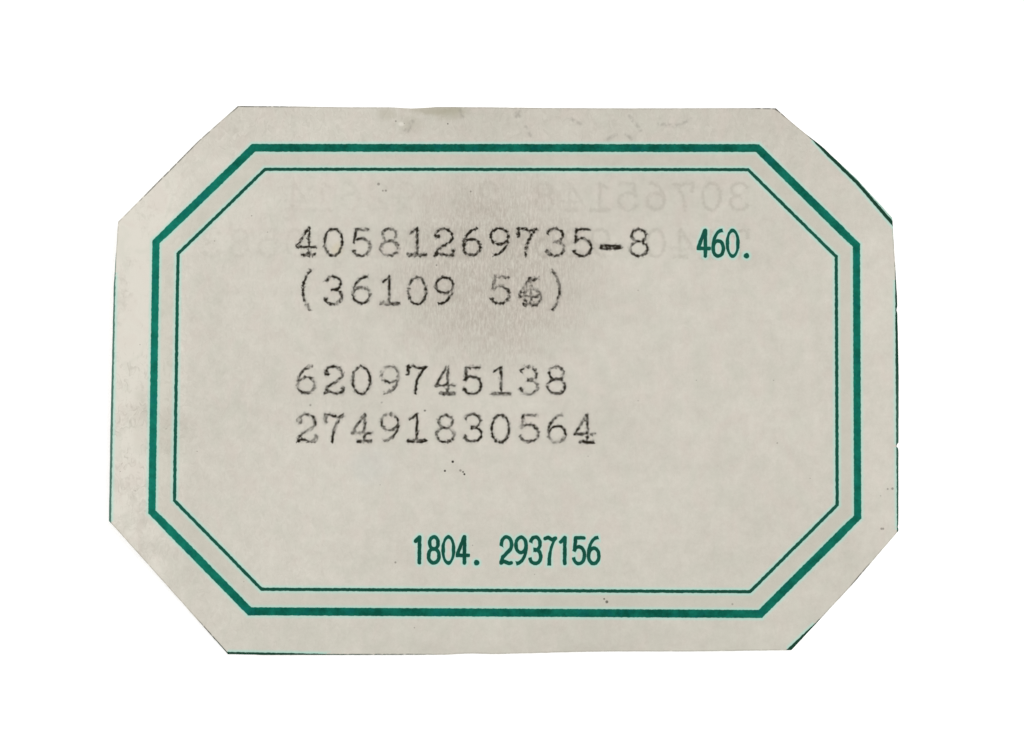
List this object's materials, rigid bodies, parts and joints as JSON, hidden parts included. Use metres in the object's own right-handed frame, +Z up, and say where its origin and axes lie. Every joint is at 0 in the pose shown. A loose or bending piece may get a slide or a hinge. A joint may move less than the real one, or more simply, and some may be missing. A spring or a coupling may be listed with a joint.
{
  "type": "paper specimen label",
  "caption": "Hand-cut paper label with cut corners and a ruled border, lying flat beside a specimen in a collection tray.",
  "frame": {"origin": "middle of the underside, where the label rests", "axes": "+X along the typed lines, left to right; +Y to the head of the label; +Z up out of the printed side"},
  "size_m": [0.0702, 0.0494, 0.0011],
  "materials": {
    "paper": "matte aged paper"
  },
  "bodies": {
    "root": {"label_card": "paper"}
  },
  "joints": []
}
